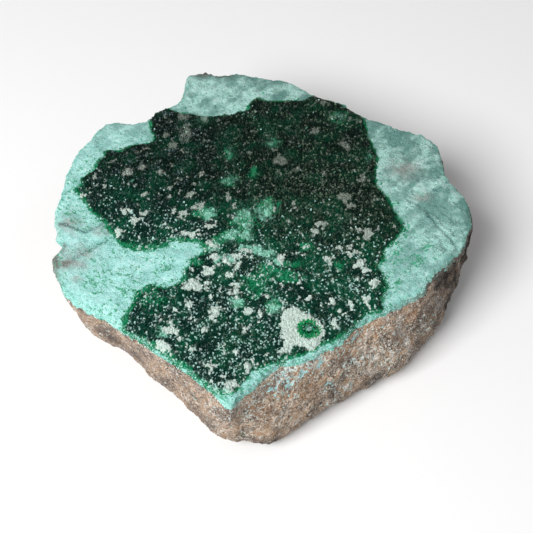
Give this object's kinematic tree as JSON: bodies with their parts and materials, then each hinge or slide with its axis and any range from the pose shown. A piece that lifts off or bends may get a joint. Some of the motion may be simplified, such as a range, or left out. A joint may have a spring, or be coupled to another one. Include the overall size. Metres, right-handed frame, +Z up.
{
  "type": "atacamite on sandstone specimen",
  "caption": "Broken slab of brown sandstone with a pale green mineral crust on its top face and a sparkling druse of dark green atacamite crystals; rests flat as a display piece.",
  "frame": {"origin": "centre of the specimen's footprint, on the surface it rests on", "axes": "+Z up, +X to the right and +Y to the back as seen from the pointed front corner's side"},
  "size_m": [0.0944, 0.0944, 0.0257],
  "materials": {
    "sandstone": "dull broken sandstone, brown with grey and rusty tints and pale sand grains",
    "pale_crust": "dull fibrous pale blue-green mineral crust with small emerald specks",
    "atacamite": "glassy, very dark green small crystals with brighter emerald and whitish patches"
  },
  "bodies": {
    "root": {"sandstone_matrix": "sandstone", "pale_green_crust": "pale_crust", "atacamite_druse": "atacamite"}
  },
  "joints": []
}
